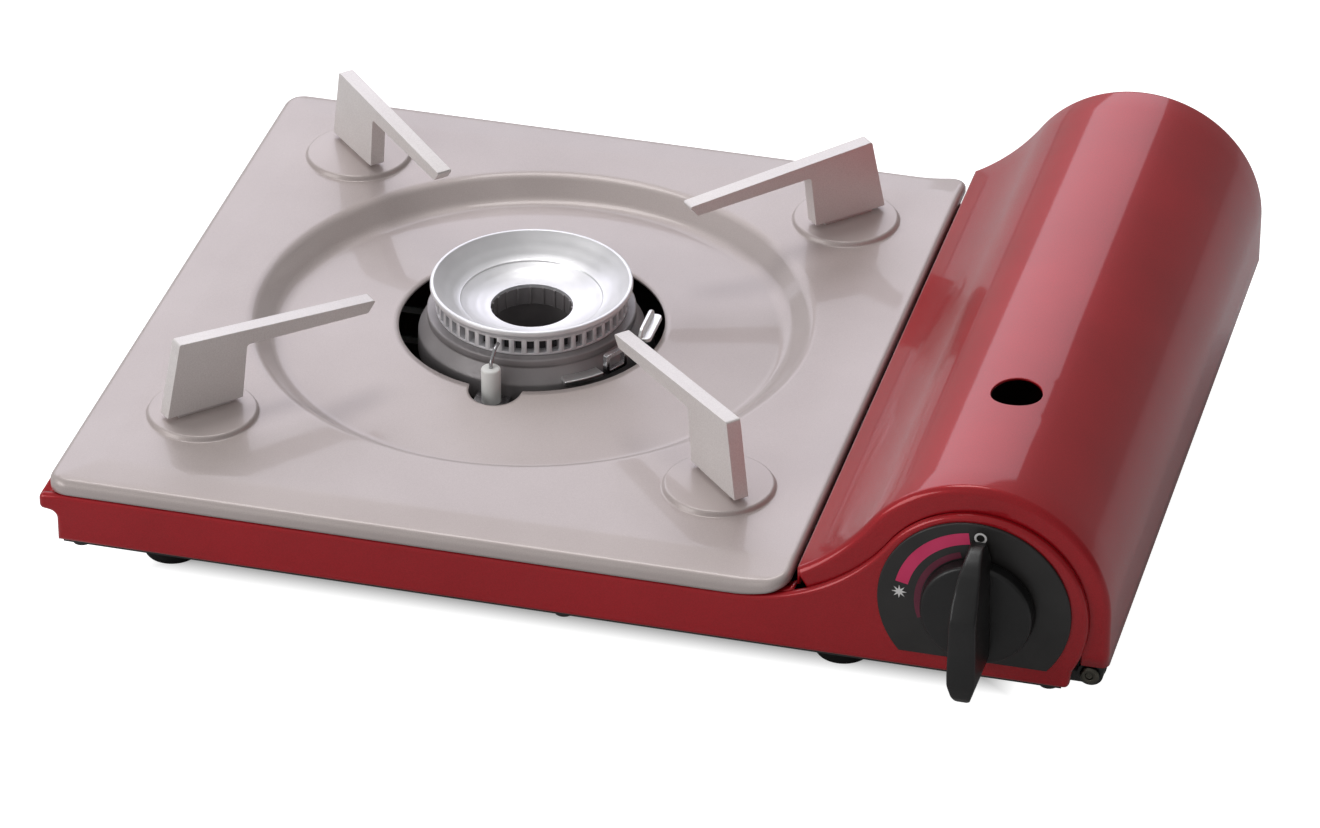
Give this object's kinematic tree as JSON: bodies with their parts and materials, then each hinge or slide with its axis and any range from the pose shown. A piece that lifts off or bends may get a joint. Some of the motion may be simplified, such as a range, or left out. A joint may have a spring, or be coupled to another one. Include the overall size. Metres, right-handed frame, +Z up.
{
  "type": "portable cassette gas stove",
  "caption": "Slim portable gas stove: flat pan with sunk basin and raised pot supports, ring burner, arched hinged cartridge cover and a front dial knob.",
  "frame": {"origin": "middle of the stove's footprint, on the surface its feet rest on", "axes": "+X towards the cartridge bay, -Y towards the user and the knob, +Z up"},
  "size_m": [0.3339, 0.275, 0.084],
  "materials": {
    "red_lacquer": "gloss lacquer",
    "champagne_enamel": "satin, fine metallic grain",
    "support_coating": "satin, fine grain",
    "black_steel": "satin black",
    "zinc_plate": "zinc plated",
    "rubber_black": "matt",
    "plastic_plate": "satin, printed arc",
    "plastic_black": "fine matt",
    "cast_aluminium": "die-cast, machined faces",
    "sheet_aluminium": "bright sheet",
    "steel_bright": "bright",
    "ignition_plastic": "natural moulded",
    "brass": "machined",
    "magnet_black": "ferrite",
    "ceramic_white": "unglazed",
    "lead_jacket": "silicone"
  },
  "bodies": {
    "base": {"body_shell": "red_lacquer", "rear_panel": "red_lacquer", "bottom_pan": "black_steel", "foot_front_left": "rubber_black", "foot_rear_left": "rubber_black", "foot_front_right": "rubber_black", "foot_rear_right": "rubber_black", "heat_shield": "zinc_plate", "case_screws": "black_steel", "control_plate": "plastic_plate", "governor_standoffs": "zinc_plate", "governor_bracket": "zinc_plate", "governor_body": "cast_aluminium", "governor_cap": "sheet_aluminium", "governor_screws": "steel_bright", "magnet_plate": "zinc_plate", "magnets": "magnet_black", "inlet_nozzle": "brass", "inlet_seal": "rubber_black", "cartridge_locator": "zinc_plate", "cartridge_rests": "zinc_plate", "piezo_igniter": "plastic_black", "igniter_bracket": "zinc_plate", "ignition_lead": "lead_jacket", "gas_pipe": "sheet_aluminium", "mixing_tube": "cast_aluminium", "jet_bracket": "zinc_plate", "jet": "brass", "burner_base": "cast_aluminium", "burner_head": "cast_aluminium", "burner_posts": "zinc_plate", "electrode_insulator": "ceramic_white", "electrode_wire": "steel_bright", "electrode_clip": "steel_bright", "heat_panel": "sheet_aluminium", "heat_clip": "steel_bright", "hinge_bracket_front": "black_steel", "hinge_bracket_rear": "black_steel", "hinge_pin_front": "steel_bright", "hinge_pin_rear": "steel_bright", "catch_spring": "steel_bright"},
    "cover": {"cartridge_cover": "red_lacquer", "cover_lug_front": "black_steel", "cover_lug_rear": "black_steel", "hinge_rivets": "steel_bright", "cover_catch": "zinc_plate"},
    "knob": {"knob": "plastic_black", "knob_spindle": "steel_bright", "ignition_cam": "ignition_plastic"},
    "plunger": {"piezo_plunger": "steel_bright"},
    "pan": {"drip_pan": "champagne_enamel", "pot_support_front_left": "support_coating", "pot_support_front_right": "support_coating", "pot_support_rear_left": "support_coating", "pot_support_rear_right": "support_coating"}
  },
  "joints": [
    {"name": "cover_hinge", "type": "hinge", "parent": "base", "child": "cover", "pos_m": [0.1608, 0.0176, 0.0219], "axis": [0, 1, 0], "range_deg": [0, 95]},
    {"name": "knob_turn", "type": "hinge", "parent": "base", "child": "knob", "pos_m": [0.128, -0.1134, 0.045], "axis": [0, -1, 0], "range_deg": [0, 95]},
    {"name": "plunger_slide", "type": "slide", "parent": "base", "child": "plunger", "axis": [-1, 0, 0], "range_m": [0, 0.004]},
    {"name": "pan_lift", "type": "slide", "parent": "base", "child": "pan", "axis": [0, 0, 1], "range_m": [0, 0.12]}
  ],
  "couplings": [
    {"joint": "plunger_slide", "follows": "knob_turn", "m_per_rad": 0.0024125}
  ]
}
